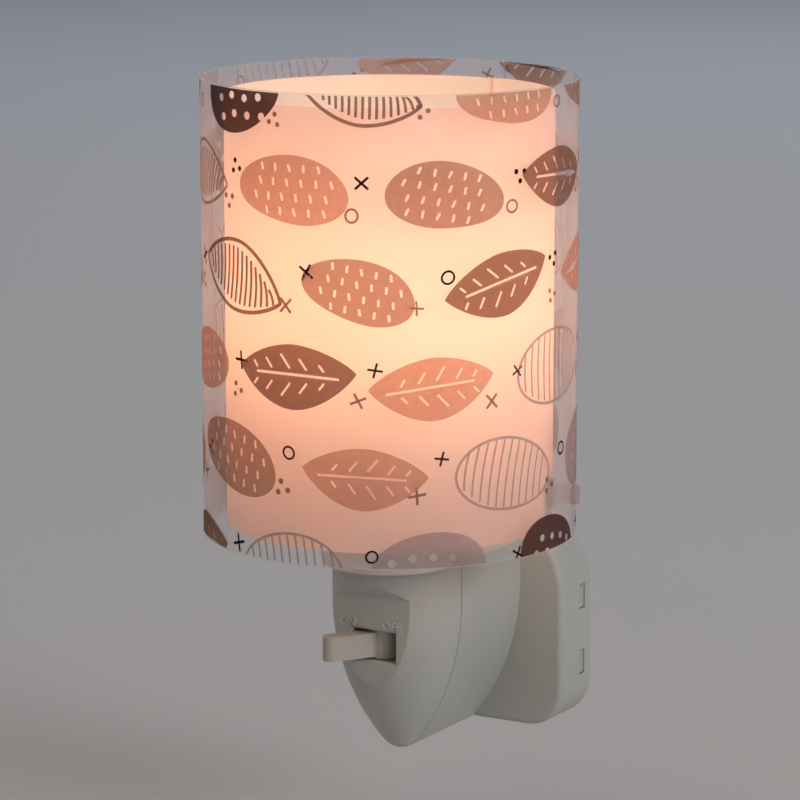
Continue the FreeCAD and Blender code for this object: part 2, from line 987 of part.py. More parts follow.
def screw(name, x, y, z, length):
    """A self-tapping screw whose head is nearest the wall."""
    where = {"x": x, "z": z, "axis": "Y"}
    shank = rod(name + "Shank", "screwRadius", length, y=y, **where)
    head = rod(
        name + "Head", "screwHeadRadius", "screwHeadHeight", y=f"({y}) + ({length})", **where
    )
    recess = rod(
        name + "Recess",
        "screwRecess",
        "screwHeadHeight",
        y=f"({y}) + ({length}) + screwHeadHeight / 2",
        **where,
    )
    return cut(name, fuse(name + "Solid", shank, head), recess)


def base_screws():
    return group(
        "BaseScrews",
        *(
            screw(
                f"BaseScrew{'Left' if sign == '-' else 'Right'}",
                x,
                "shellWall + clearance / 3 - baseThickness - baseScrewLength",
                "baseScrewLevel",
                "baseScrewLength",
            )
            for sign, x in base_screw_places()
        ),
    )


def seam_screw():
    return screw(
        "SeamScrew",
        "0",
        "shellWall * 3 - panelDepth",
        "-seamScrewDrop",
        "panelDepth - seamDepth + seamSleeveLength - shellWall * 3 + clearance / 3",
    )


# The bulb: cap, insulator, tip, neck, globe, board and light chips

TIP_BOTTOM = "bodyTop + holderFloor + buttonHeight + clearance / 3"
CAP_BOTTOM = f"{TIP_BOTTOM} + tipHeight + insulatorHeight"


def bulb_tip_contact():
    return rod("BulbTip", "tipRadius", "tipHeight", z=TIP_BOTTOM, **holder_place)


def bulb_insulator():
    return cone(
        "BulbInsulator",
        "tipRadius + clearance",
        "capRadius - insulatorHeight",
        "insulatorHeight",
        z=f"{TIP_BOTTOM} + tipHeight",
        **holder_place,
    )


def bulb_cap():
    return tube(
        "BulbCap",
        "capRadius",
        "capRadius - capWall",
        "capHeight",
        z=CAP_BOTTOM,
        **holder_place,
    )


def bulb_neck():
    """The moulded cone between cap and globe, with a plug that fills the cap's mouth."""
    start = f"{CAP_BOTTOM} + capHeight"
    plug = rod(
        "NeckPlug",
        "capRadius - capWall",
        "capHeight / 2",
        z=f"{CAP_BOTTOM} + capHeight / 2",
        **holder_place,
    )
    flare = cone(
        "NeckFlare", "capRadius + capWall", "bulbRadius", "neckHeight", z=start, **holder_place
    )
    return fuse("BulbNeck", plug, flare)


GLOBE_BOTTOM = f"{CAP_BOTTOM} + capHeight + neckHeight"


def globe_solid(name, inset):
    """An upright cylinder with a domed top, drawn in by inset."""
    centre = "bulbTop - bulbRadius"
    side = rod(
        f"{name}Side",
        f"bulbRadius - {inset}",
        f"{centre} - ({GLOBE_BOTTOM})",
        z=GLOBE_BOTTOM,
        **holder_place,
    )
    dome = ball(f"{name}Dome", f"bulbRadius - {inset}", z=centre, **holder_place)
    return fuse(name, side, dome)


def bulb_globe():
    return cut(
        "BulbGlobe", globe_solid("GlobeOutside", "0"), globe_solid("GlobeInside", "globeWall")
    )


def bulb_led_board():
    """A slim upright board that stands on the neck, inside the globe."""
    return block(
        "LedBoard",
        "boardWidth",
        "boardThickness",
        f"bulbTop - bulbRadius - ({GLOBE_BOTTOM})",
        y="-shadeDepth - boardThickness / 2",
        z=GLOBE_BOTTOM,
    )


def bulb_leds():
    """Four light chips on each face of the board."""
    chips = []
    room = f"(bulbTop - bulbRadius - ({GLOBE_BOTTOM}))"
    for face, y in (
        ("Front", "-shadeDepth - boardThickness / 2 - chipHeight"),
        ("Back", "-shadeDepth + boardThickness / 2"),
    ):
        for step in range(4):
            chips.append(
                block(
                    f"Chip{face}{step}",
                    "chipSize",
                    "chipHeight",
                    "chipSize",
                    y=y,
                    z=f"{GLOBE_BOTTOM} + {room} * {(step + 0.5) / 4} - chipSize / 2",
                )
            )
    return group("BulbLeds", *chips)


# The shade, built round its own axis and then turned and moved into place

FILM_RADIUS = "filmDiameter / 2"
DIFFUSER_RADIUS = "filmDiameter / 2 - filmWall - shadeGap"
RIVET_LEVEL = "filmBottom + rivetRise"
CARRIER_LEVEL = "bodyTop + collarHeight + clearance / 3"


def seat_shade(piece):
    piece.Placement.Rotation = Rotation(Vector(0, 0, 1), size("rivetTurn"))
    bind(piece, Placement_Rotation_Angle="rivetTurn")
    return place(piece, y="-shadeDepth")


def rivet_bore(name):
    return rod(
        name,
        "rivetShank + clearance",
        "filmDiameter * 2",
        x="-filmDiameter",
        z=RIVET_LEVEL,
        axis="X",
    )


def sheet_tube(name, outer, wall, bottom, height):
    return seat_shade(
        cut(
            name,
            rod(name + "Outside", outer, height, z=bottom),
            rod(name + "Inside", f"{outer} - {wall}", height, z=bottom),
            rivet_bore(name + "Holes"),
        )
    )


def shade_film():
    return sheet_tube("ShadeFilm", FILM_RADIUS, "filmWall", "filmBottom", "filmHeight")


def shade_diffuser():
    return sheet_tube(
        "ShadeDiffuser",
        DIFFUSER_RADIUS,
        "diffuserWall",
        "filmBottom + diffuserRise",
        "diffuserHeight",
    )


def tab_face():
    """How far the carrier's upright tabs stand from the shade's axis."""
    return f"{DIFFUSER_RADIUS} - diffuserWall - clearance * 3"


def shade_carrier():
    """A ring over the lampholder with two arms, whose ends turn up inside the diffuser."""
    bar = block(
        "CarrierBar",
        f"({tab_face()}) * 2",
        "carrierWidth",
        "carrierPlate",
        y="-carrierWidth / 2",
        z=CARRIER_LEVEL,
    )
    ring = rod("CarrierRing", "carrierBore + carrierRing", "carrierPlate", z=CARRIER_LEVEL)
    tabs = [
        block(
            f"CarrierTab{side}",
            "carrierPlate",
            "carrierWidth",
            f"{RIVET_LEVEL} + tabTop - ({CARRIER_LEVEL})",
            x=f"{sign}({tab_face()} - carrierPlate / 2)",
            y="-carrierWidth / 2",
            z=CARRIER_LEVEL,
        )
        for side, sign in (("Left", "-"), ("Right", "+"))
    ]
    bore = rod("CarrierBore", "carrierBore", "filmBottom", z="bodyTop")
    solid = fuse("CarrierSolid", bar, ring, *tabs)
    return seat_shade(cut("ShadeCarrier", solid, bore, rivet_bore("CarrierHoles")))


def shade_rivets():
    """Two clear push rivets: clip head, shank, flange, spacer stem and outer head."""
    inner = f"{tab_face()} - carrierPlate - clearance - rivetHead"
    pieces = []
    for side, sign in (("Left", "-"), ("Right", "+")):
        steps = (
            ("Clip", "rivetFlange", inner, "rivetHead"),
            (
                "Shank",
                "rivetShank",
                inner,
                f"{FILM_RADIUS} + clearance * 2 - ({inner})",
            ),
            ("Flange", "rivetFlange", f"{DIFFUSER_RADIUS} + clearance / 3", "rivetFlangePlate"),
            (
                "Stem",
                "rivetStem",
                f"{DIFFUSER_RADIUS} + clearance",
                "shadeGap - clearance * 2",
            ),
            ("Head", "rivetHeadRadius", f"{FILM_RADIUS} + clearance / 5", "rivetHead"),
        )
        rods = [
            rod(
                f"Rivet{name}{side}",
                radius,
                length,
                x=start if sign == "+" else f"-({start}) - ({length})",
                z=RIVET_LEVEL,
                axis="X",
            )
            for name, radius, start, length in steps
        ]
        pieces.append(fuse(f"Rivet{side}", *rods))
    return seat_shade(group("ShadeRivets", *pieces))


nodes = {
    "front_housing": front_housing(),
    "rear_housing": rear_housing(),
    "plug_base": plug_base(),
    "plug_rear_cover": plug_rear_cover(),
    "plug_pin_left": plug_pin("Left", "-"),
    "plug_pin_right": plug_pin("Right", "+"),
    "pin_sleeves": both_sides("PinSleeves", pin_sleeve),
    "pin_terminals": both_sides("PinTerminals", pin_terminal),
    "switch_lever": switch_lever(),
    "switch_frame": switch_frame(),
    "switch_contacts": switch_contacts(),
    "switch_leaf_spring": switch_leaf_spring(),
    "lampholder_body": lampholder_body(),
    "lampholder_collar": lampholder_collar(),
    "lampholder_shell": lampholder_shell(),
    "lampholder_contact": lampholder_contact(),
    "lampholder_clip": lampholder_clip(),
    "base_screws": base_screws(),
    "seam_screw": seam_screw(),
    "bulb_cap": bulb_cap(),
    "bulb_insulator": bulb_insulator(),
    "bulb_tip_contact": bulb_tip_contact(),
    "bulb_neck": bulb_neck(),
    "bulb_globe": bulb_globe(),
    "bulb_led_board": bulb_led_board(),
    "bulb_leds": bulb_leds(),
    "shade_film": shade_film(),
    "shade_diffuser": shade_diffuser(),
    "shade_carrier": shade_carrier(),
    "shade_rivets": shade_rivets(),
    **leads(),
}
for label, piece in nodes.items():
    piece.Label = label
doc.recompute()

faults = [o.Name for o in doc.Objects if {"Invalid", "Error"} & set(o.State)]
faults += [
    label
    for label, piece in nodes.items()
    if piece.Shape.isNull() or not piece.Shape.isValid() or not piece.Shape.Solids
]
if faults:
    raise SystemExit("failed: " + ", ".join(faults))

os.makedirs("parts", exist_ok=True)
for label, piece in nodes.items():
    piece.Shape.exportStep(f"parts/{label}.step")
    box = piece.Shape.BoundBox
    print(
        f"{label}: {len(piece.Shape.Solids)} solid, {piece.Shape.Volume:.1f} mm3,"
        f" x {box.XMin:.1f}..{box.XMax:.1f} y {box.YMin:.1f}..{box.YMax:.1f}"
        f" z {box.ZMin:.1f}..{box.ZMax:.1f}"
    )
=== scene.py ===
import math
import random

import bmesh
import bpy
from mathutils import Matrix, Vector
from mathutils.geometry import delaunay_2d_cdt


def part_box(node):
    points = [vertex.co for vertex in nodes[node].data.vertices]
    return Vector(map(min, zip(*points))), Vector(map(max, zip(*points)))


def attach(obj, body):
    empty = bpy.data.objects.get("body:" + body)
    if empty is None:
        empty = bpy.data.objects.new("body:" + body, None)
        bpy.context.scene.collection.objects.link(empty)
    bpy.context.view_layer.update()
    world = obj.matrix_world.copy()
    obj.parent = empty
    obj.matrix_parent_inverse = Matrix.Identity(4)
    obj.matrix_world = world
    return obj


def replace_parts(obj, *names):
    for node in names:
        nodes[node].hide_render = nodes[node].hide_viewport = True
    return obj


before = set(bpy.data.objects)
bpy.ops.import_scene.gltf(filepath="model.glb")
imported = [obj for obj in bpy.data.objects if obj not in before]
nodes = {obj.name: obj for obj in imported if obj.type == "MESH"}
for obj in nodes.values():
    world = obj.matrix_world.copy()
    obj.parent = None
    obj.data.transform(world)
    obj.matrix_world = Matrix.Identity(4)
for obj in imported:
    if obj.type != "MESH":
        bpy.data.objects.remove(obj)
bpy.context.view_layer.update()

mm = 0.001
random.seed(7)
scene = bpy.context.scene
scene.view_settings.view_transform = "Standard"


# places that the frame gives

def corners(node):
    low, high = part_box(node)
    return Vector(low), Vector(high)


filmLow, filmHigh = corners("shade_film")
diffuserLow, diffuserHigh = corners("shade_diffuser")
bodyLow, bodyHigh = corners("front_housing")
shadeAxis = (filmLow + filmHigh) / 2
filmRadius = (filmHigh.x - filmLow.x) / 2
diffuserRadius = (diffuserHigh.x - diffuserLow.x) / 2


# colours are sRGB hex, turned to linear here

def linear(hexColour):
    def channel(c):
        return c / 12.92 if c <= 0.04045 else ((c + 0.055) / 1.055) ** 2.4
    digits = hexColour.lstrip("#")
    return (*(channel(int(digits[i:i + 2], 16) / 255) for i in (0, 2, 4)), 1.0)


# one helper for every shader node: settings go to inputs or properties, links are (input, output)
def addNode(tree, kind, links=(), **settings):
    made = tree.nodes.new("ShaderNode" + kind)
    for name, value in settings.items():
        title = name.replace("_", " ")
        if title in made.inputs:
            made.inputs[title].default_value = value
        else:
            setattr(made, name, value)
    for socket, source in links:
        tree.links.new(source, made.inputs[socket])
    return made


def newMaterial(name):
    material = bpy.data.materials.new(name)
    material.use_nodes = True
    tree = material.node_tree
    tree.nodes.clear()
    output = addNode(tree, "OutputMaterial")
    coordinates = addNode(tree, "TexCoord").outputs["Object"]
    return material, tree, output, coordinates


# moulded plastic: a fine spark-eroded grain, a slow tone drift, a soft sheen, and where asked a
# painted-shade seam line
moulding = {
    "driftMm": 18, "driftFrom": 0.3, "driftTo": 0.7,
    "smoother": 0.06, "rougher": 0.08, "reliefMm": 0.05, "ior": 1.5,
}


def mouldedPlastic(name, colour, shade, grainMm=0.35, roughness=0.42, bump=0.12, seam=None):
    material, tree, output, coordinates = newMaterial(name)
    # real grain is about 0.05 mm, drawn coarser here so that it shows
    grain = addNode(
        tree, "TexNoise", [("Vector", coordinates)], Scale=1 / (grainMm * mm), Detail=4.0,
    )
    drift = addNode(
        tree, "TexNoise", [("Vector", coordinates)],
        Scale=1 / (moulding["driftMm"] * mm), Detail=2.0,
    )
    ramp = addNode(tree, "ValToRGB", [("Fac", drift.outputs["Fac"])])
    ramp.color_ramp.elements[0].position = moulding["driftFrom"]
    ramp.color_ramp.elements[0].color = linear(shade)
    ramp.color_ramp.elements[1].position = moulding["driftTo"]
    ramp.color_ramp.elements[1].color = linear(colour)
    rough = addNode(
        tree, "MapRange", [("Value", grain.outputs["Fac"])],
        To_Min=roughness - moulding["smoother"], To_Max=roughness + moulding["rougher"],
    )
    relief = addNode(
        tree, "Bump", [("Height", grain.outputs["Fac"])],
        Strength=bump, Distance=moulding["reliefMm"] * mm,
    )
    tint = ramp.outputs["Color"]
    if seam:
        # painted shade: the two shells' parting line, a dark band where the faces meet in an
        # upright plane
        depth = addNode(tree, "SeparateXYZ", [("Vector", coordinates)]).outputs["Y"]
        inSeamShade = addNode(tree, "Math", [(0, depth)], operation="COMPARE")
        inSeamShade.inputs[1].default_value = seam["at"]
        inSeamShade.inputs[2].default_value = seam["half"]
        tint = addNode(
            tree, "MixRGB", [("Fac", inSeamShade.outputs[0]), ("Color1", tint)],
            Color2=linear(seam["colour"]),
        ).outputs[0]
    plastic = addNode(
        tree, "BsdfPrincipled",
        [
            ("Base Color", tint),
            ("Roughness", rough.outputs["Result"]),
            ("Normal", relief.outputs["Normal"]),
        ],
        IOR=moulding["ior"],
    )
    tree.links.new(plastic.outputs["BSDF"], output.inputs["Surface"])
    return material


# plated or bare metal: brushed along one axis by stretching the noise
brushing = {"smoother": 0.7, "rougher": 1.4, "bump": 0.08, "reliefMm": 0.03}


def finishedMetal(name, colour, roughness, stretch=(1, 12, 1), grainMm=0.4):
    material, tree, output, coordinates = newMaterial(name)
    scaled = addNode(tree, "Mapping", [("Vector", coordinates)], Scale=stretch)
    grain = addNode(
        tree, "TexNoise", [("Vector", scaled.outputs["Vector"])],
        Scale=1 / (grainMm * mm), Detail=3.0,
    )
    rough = addNode(
        tree, "MapRange", [("Value", grain.outputs["Fac"])],
        To_Min=roughness * brushing["smoother"], To_Max=roughness * brushing["rougher"],
    )
    relief = addNode(
        tree, "Bump", [("Height", grain.outputs["Fac"])],
        Strength=brushing["bump"], Distance=brushing["reliefMm"] * mm,
    )
    metal = addNode(
        tree, "BsdfPrincipled",
        [("Roughness", rough.outputs["Result"]), ("Normal", relief.outputs["Normal"])],
        Base_Color=linear(colour), Metallic=1.0,
    )
    tree.links.new(metal.outputs["BSDF"], output.inputs["Surface"])
    return material


# share of light mirrored by a clear wall, the same for rays that enter it and rays that leave
def wallMirror(tree, ior, links=()):
    facing = addNode(tree, "NewGeometry").outputs["Backfacing"]
    index = addNode(tree, "MapRange", [("Value", facing)], To_Min=ior, To_Max=1 / ior)
    return addNode(tree, "Fresnel", [("IOR", index.outputs["Result"]), *links]).outputs[0]


# haze for a light path that crosses the wall at a slant: 1 - exp(-haze / cosine)
def slantHaze(tree, haze, leastCosine=0.04):
    slant = addNode(tree, "LayerWeight", Blend=0.5).outputs["Facing"]
    cosine = addNode(tree, "MapRange", [("Value", slant)], To_Min=1.0, To_Max=leastCosine)
    depth = addNode(tree, "Math", [(1, cosine.outputs[0])], operation="DIVIDE")
    depth.inputs[0].default_value = -haze
    clear = addNode(tree, "Math", [(0, depth.outputs[0])], operation="EXPONENT")
    share = addNode(tree, "MapRange", [("Value", clear.outputs[0])], To_Min=1.0, To_Max=0.0)
    return share.outputs[0]


# clear polypropylene film: nearly invisible face on, a soft gloss, and a faint haze near its sides
film = {
    "haze": 0.155, "hazeColour": "#F4EEF0", "gloss": 0.18, "ior": 1.49,
    "rippleMm": 26.0, "ripple": 0.15, "rippleReliefMm": 0.3,
}


def clearFilm(name, haze):
    material, tree, output, coordinates = newMaterial(name)
    ripple = addNode(
        tree, "TexNoise", [("Vector", coordinates)], Scale=1 / (film["rippleMm"] * mm), Detail=1.0,
    )
    relief = addNode(
        tree, "Bump", [("Height", ripple.outputs["Fac"])],
        Strength=film["ripple"], Distance=film["rippleReliefMm"] * mm,
    )
    clear = addNode(tree, "BsdfTransparent", Color=(1, 1, 1, 1))
    outward = addNode(tree, "BsdfTranslucent", Color=linear(film["hazeColour"]))
    inward = addNode(tree, "BsdfDiffuse", Color=linear(film["hazeColour"]))
    cloud = addNode(tree, "MixShader", [(1, outward.outputs[0]), (2, inward.outputs[0])], Fac=0.5)
    sheen = addNode(
        tree, "BsdfGlossy", [("Normal", relief.outputs["Normal"])],
        Color=(1, 1, 1, 1), Roughness=film["gloss"],
    )
    body = addNode(
        tree, "MixShader",
        [("Fac", slantHaze(tree, haze)), (1, clear.outputs[0]), (2, cloud.outputs[0])],
    )
    mirror = wallMirror(tree, film["ior"], [("Normal", relief.outputs["Normal"])])
    mixed = addNode(
        tree, "MixShader", [("Fac", mirror), (1, body.outputs[0]), (2, sheen.outputs[0])],
    )
    tree.links.new(mixed.outputs[0], output.inputs["Surface"])
    return material


# translucent pink polypropylene: an even glow, brightest level with the bulb, and pale satin inside
diffuser = {
    "colour": "#FCF0EC", "through": "#FFCCB9", "reflects": 0.46, "roughness": 0.5,
    "cloudMm": 14.0, "cloudFrom": 0.25, "cloudTo": 0.75, "cloudDim": 0.94,
    "grainMm": 0.6, "bump": 0.1, "reliefMm": 0.05,
    "skinGloss": 0.35, "skinShare": 0.03,
}


def pinkDiffuser(name):
    material, tree, output, coordinates = newMaterial(name)
    cloud = addNode(
        tree, "TexNoise", [("Vector", coordinates)],
        Scale=1 / (diffuser["cloudMm"] * mm), Detail=3.0,
    )
    tone = addNode(tree, "ValToRGB", [("Fac", cloud.outputs["Fac"])])
    bright = linear(diffuser["through"])
    tone.color_ramp.elements[0].position = diffuser["cloudFrom"]
    tone.color_ramp.elements[0].color = (*(diffuser["cloudDim"] * c for c in bright[:3]), 1.0)
    tone.color_ramp.elements[1].position = diffuser["cloudTo"]
    tone.color_ramp.elements[1].color = bright
    grain = addNode(
        tree, "TexNoise", [("Vector", coordinates)],
        Scale=1 / (diffuser["grainMm"] * mm), Detail=2.0,
    )
    relief = addNode(
        tree, "Bump", [("Height", grain.outputs["Fac"])],
        Strength=diffuser["bump"], Distance=diffuser["reliefMm"] * mm,
    )
    passing = addNode(tree, "BsdfTranslucent", [("Color", tone.outputs["Color"])])
    back = addNode(
        tree, "BsdfPrincipled", [("Normal", relief.outputs["Normal"])],
        Base_Color=linear(diffuser["colour"]), Roughness=diffuser["roughness"],
    )
    mixed = addNode(
        tree, "MixShader", [(1, passing.outputs[0]), (2, back.outputs[0])],
        Fac=diffuser["reflects"],
    )
    tree.links.new(mixed.outputs[0], output.inputs["Surface"])
    return material


# the sheet's inner skin lets light straight to the outer one, which does the scattering
def innerSkin(name):
    material, tree, output, _ = newMaterial(name)
    clear = addNode(tree, "BsdfTransparent", Color=(1, 1, 1, 1))
    sheen = addNode(tree, "BsdfGlossy", Color=(1, 1, 1, 1), Roughness=diffuser["skinGloss"])
    mixed = addNode(
        tree, "MixShader", [(1, clear.outputs[0]), (2, sheen.outputs[0])],
        Fac=diffuser["skinShare"],
    )
    tree.links.new(mixed.outputs[0], output.inputs["Surface"])
    return material


# screen ink on film: part pigment, part tinted glass, so the light behind shows through it
def screenInk(name, colour, cover, mottleMm=1.2, uneven=0.05):
    material, tree, output, coordinates = newMaterial(name)
    mottle = addNode(
        tree, "TexNoise", [("Vector", coordinates)], Scale=1 / (mottleMm * mm), Detail=3.0,
    )
    share = addNode(
        tree, "MapRange", [("Value", mottle.outputs["Fac"])],
        To_Min=cover - uneven, To_Max=cover + uneven,
    )
    tint = addNode(tree, "BsdfTransparent", Color=linear(colour))
    pigment = addNode(tree, "BsdfDiffuse", Color=linear(colour))
    mixed = addNode(
        tree, "MixShader",
        [("Fac", share.outputs["Result"]), (1, tint.outputs[0]), (2, pigment.outputs[0])],
    )
    tree.links.new(mixed.outputs[0], output.inputs["Surface"])
    return material


# clear moulded nylon: glassy, with a sharp highlight and a slight milkiness
rivets = {
    "milk": "#F1DCD6", "clear": "#F6ECE8", "milky": 0.16, "gloss": 0.08, "ior": 1.53,
    "grainMm": 0.8, "bump": 0.1, "reliefMm": 0.05,
}


def clearNylon(name):
    material, tree, output, coordinates = newMaterial(name)
    grain = addNode(
        tree, "TexNoise", [("Vector", coordinates)], Scale=1 / (rivets["grainMm"] * mm), Detail=2.0,
    )
    relief = addNode(
        tree, "Bump", [("Height", grain.outputs["Fac"])],
        Strength=rivets["bump"], Distance=rivets["reliefMm"] * mm,
    )
    milky = addNode(tree, "BsdfTranslucent", Color=linear(rivets["milk"]))
    clear = addNode(tree, "BsdfTransparent", Color=linear(rivets["clear"]))
    sheen = addNode(
        tree, "BsdfGlossy", [("Normal", relief.outputs["Normal"])], Roughness=rivets["gloss"],
    )
    body = addNode(
        tree, "MixShader", [(1, clear.outputs[0]), (2, milky.outputs[0])], Fac=rivets["milky"],
    )
    mirror = wallMirror(tree, rivets["ior"])
    mixed = addNode(
        tree, "MixShader", [("Fac", mirror), (1, body.outputs[0]), (2, sheen.outputs[0])],
    )
    tree.links.new(mixed.outputs[0], output.inputs["Surface"])
    return material


# opal globe, lit warm from inside: dim at its foot and brightest over the dome
bulb = {
    "glow": "#FFE0B4", "foot": 1.2, "dome": 18.5,
    "opal": "#F6F0E4", "cloudMm": 9, "smoothest": 0.25, "roughest": 0.35,
}


def opalGlobe(name):
    material, tree, output, coordinates = newMaterial(name)
    cloud = addNode(
        tree, "TexNoise", [("Vector", coordinates)], Scale=1 / (bulb["cloudMm"] * mm), Detail=2.0,
    )
    rough = addNode(
        tree, "MapRange", [("Value", cloud.outputs["Fac"])],
        To_Min=bulb["smoothest"], To_Max=bulb["roughest"],
    )
    height = addNode(tree, "SeparateXYZ", [("Vector", coordinates)]).outputs["Z"]
    globeLow, globeHigh = corners("bulb_globe")
    power = addNode(
        tree, "MapRange", [("Value", height)],
        From_Min=globeLow.z, From_Max=globeHigh.z, To_Min=bulb["foot"], To_Max=bulb["dome"],
    )
    globe = addNode(
        tree, "BsdfPrincipled",
        [("Roughness", rough.outputs["Result"]), ("Emission Strength", power.outputs["Result"])],
        Base_Color=linear(bulb["opal"]), Emission_Color=linear(bulb["glow"]),
    )
    tree.links.new(globe.outputs["BSDF"], output.inputs["Surface"])
    return material


plastics = {
    "housing": ("#BDBDB6", "#B6B6AF"),
    "cover": ("#B8B8B1", "#B0B0A9"),
    "lever": ("#BFB6AA", "#B8AFA3"),
    "letters": ("#CDCDC6", "#C6C6BF"),
    "holder": ("#DAD6D0", "#D2CEC8"),
    "carrier": ("#D9D8D6", "#D2D1CF"),
    "neck": ("#E4E1DB", "#DDDAD4"),
    "sleeve": ("#C4C7CA", "#BDC0C3"),
    "board": ("#E6E6E2", "#DEDEDA"),
    "chips": ("#F0DF9A", "#E8D68C"),
    "black": ("#1D1D20", "#17171A"),
    "brown": ("#5A3823", "#51321E"),
    "blue": ("#2A4F94", "#244787"),
}
# painted shade: the dark hairline where the body's front and rear halves meet, as shade in the gap
# between them
seamShade = {"at": bodyHigh.y, "half": 0.13 * mm, "colour": "#6F6F69"}
housingPlastic = mouldedPlastic("PolycarbonateSatinGrey", *plastics["housing"], seam=seamShade)
# painted highlight: the raised letters are coloured a little paler than the panel they stand on, as
# where they catch the light
letterHighlightPlastic = mouldedPlastic("PolycarbonateLettersHighlight", *plastics["letters"])
coverPlastic = mouldedPlastic("PolycarbonateCoverGrey", *plastics["cover"], roughness=0.5)
leverPlastic = mouldedPlastic("AcetalLeverSatin", *plastics["lever"], grainMm=0.5, roughness=0.36)
holderPlastic = mouldedPlastic("PhenolicHolderWhite", *plastics["holder"], roughness=0.4)
carrierPlastic = mouldedPlastic("PolypropyleneCarrierWhite", *plastics["carrier"], roughness=0.45)
neckPlastic = mouldedPlastic("BulbNeckWhite", *plastics["neck"], roughness=0.35)
sleevePlastic = mouldedPlastic("NylonSleeveGrey", *plastics["sleeve"], roughness=0.5)
boardPlastic = mouldedPlastic("BoardSolderMaskWhite", *plastics["board"], roughness=0.3)
chipPlastic = mouldedPlastic("PhosphorSilicone", *plastics["chips"], roughness=0.25)
blackPlastic = mouldedPlastic("CapInsulatorBlackGlass", *plastics["black"], roughness=0.2)
brownPlastic = mouldedPlastic("PvcLeadBrown", *plastics["brown"], roughness=0.35)
bluePlastic = mouldedPlastic("PvcLeadBlue", *plastics["blue"], roughness=0.35)
pinMetal = finishedMetal("NickelPlatedBrass", "#D8D2C4", 0.22)
brassMetal = finishedMetal("BrassRolled", "#C9A35A", 0.3)
steelMetal = finishedMetal("SpringSteelRolled", "#B4B4B6", 0.3)
screwMetal = finishedMetal("SteelZincPlated", "#B0B2B6", 0.34)
capMetal = finishedMetal("NickelPlatedCap", "#CFCBC2", 0.26, stretch=(1, 1, 9))

finishes = {
    "front_housing": housingPlastic,
    "rear_housing": housingPlastic,
    "plug_base": housingPlastic,
    "plug_rear_cover": coverPlastic,
    "plug_pin_left": pinMetal,
    "plug_pin_right": pinMetal,
    "pin_sleeves": sleevePlastic,
    "pin_terminals": brassMetal,
    "switch_lever": leverPlastic,
    "switch_frame": coverPlastic,
    "switch_contacts": brassMetal,
    "switch_leaf_spring": steelMetal,
    "lampholder_body": holderPlastic,
    "lampholder_collar": holderPlastic,
    "lampholder_shell": brassMetal,
    "lampholder_contact": brassMetal,
    "lampholder_clip": steelMetal,
    "base_screws": screwMetal,
    "seam_screw": screwMetal,
    "bulb_cap": capMetal,
    "bulb_insulator": blackPlastic,
    "bulb_tip_contact": capMetal,
    "bulb_neck": neckPlastic,
    "bulb_globe": opalGlobe("OpalGlobeLit"),
    "bulb_led_board": boardPlastic,
    "bulb_leds": chipPlastic,
    "shade_carrier": carrierPlastic,
    "shade_rivets": clearNylon("NylonClearMoulded"),
    "live_wire": brownPlastic,
    "neutral_wire": bluePlastic,
    "switch_wire": brownPlastic,
}
for name, material in finishes.items():
    piece = nodes[name]
    if not piece.material_slots:
        piece.data.materials.append(None)
    for slot in piece.material_slots:
        slot.link = "OBJECT"
        slot.material = material
print("materials done")


# moulded edges are never sharp: a small round on each casing, which also draws the seams
edgeRounds = {  # mm
    "front_housing": 0.35,
    "rear_housing": 0.35,
    "plug_base": 0.3,
    "plug_rear_cover": 0.2,
    "switch_lever": 0.45,
    "lampholder_collar": 0.5,
    "lampholder_body": 0.4,
    "shade_carrier": 0.25,
    "shade_rivets": 0.3,
}
for name, width in edgeRounds.items():
    bevel = nodes[name].modifiers.new("edge round", "BEVEL")
    bevel.width = width * mm
    bevel.segments = 3
    bevel.limit_method = "ANGLE"
    bevel.angle_limit = math.radians(40)
    bevel.harden_normals = True
    # corners where two rounds meet leave faces without width: they are merged away
    weld = nodes[name].modifiers.new("merge slivers", "WELD")
    weld.merge_threshold = 0.003 * mm


def newPiece(name, mesh, body, slotName, *materials):
    piece = bpy.data.objects.new(name, mesh)
    scene.collection.objects.link(piece)
    for material in materials:
        mesh.materials.append(material)
    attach(piece, body)
    return piece


# the bulb's cap: a rolled E14 thread between a plain foot and a plain skirt
capThread = {
    "pitch": 2.82 * mm, "depth": 0.36 * mm, "wall": 0.4 * mm,
    "foot": 1.2 * mm, "skirt": 3.4 * mm,
    "around": 64, "step": 0.28 * mm,
}


def screwCap():
    low, high = corners("bulb_cap")
    crest = (high.x - low.x) / 2
    levels = int((high.z - low.z) / capThread["step"])
    around = capThread["around"]
    mesh = bmesh.new()

    def ring(z, outer, depth=0.0):
        made = []
        for k in range(around):
            angle = k / around * math.tau
            groove = 0.5 - 0.5 * math.cos(math.tau * (z - low.z) / capThread["pitch"] - angle)
            radius = outer - depth * groove
            x, y = radius * math.cos(angle), radius * math.sin(angle)
            made.append(mesh.verts.new((shadeAxis.x + x, shadeAxis.y + y, z)))
        return made

    rings = []
    for i in range(levels + 1):
        z = low.z + i / levels * (high.z - low.z)
        fromFoot = (z - low.z) / capThread["foot"]
        fromSkirt = (high.z - capThread["skirt"] - z) / capThread["foot"]
        share = min(max(min(fromFoot, fromSkirt), 0.0), 1.0)
        rings.append(ring(z, crest, capThread["depth"] * share))
    bore = crest - capThread["wall"]
    rings += [ring(high.z, bore), ring(low.z, bore)]
    for j, here in enumerate(rings):
        there = rings[(j + 1) % len(rings)]
        for k in range(around):
            after = (k + 1) % around
            face = mesh.faces.new((here[k], here[after], there[after], there[k]))
            face.smooth = j < levels
    bmesh.ops.recalc_face_normals(mesh, faces=mesh.faces)
    data = bpy.data.meshes.new("screw_cap")
    mesh.to_mesh(data)
    mesh.free()
    return newPiece("screw_cap", data, "bulb", "cap_metal", capMetal)


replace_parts(screwCap(), "bulb_cap")


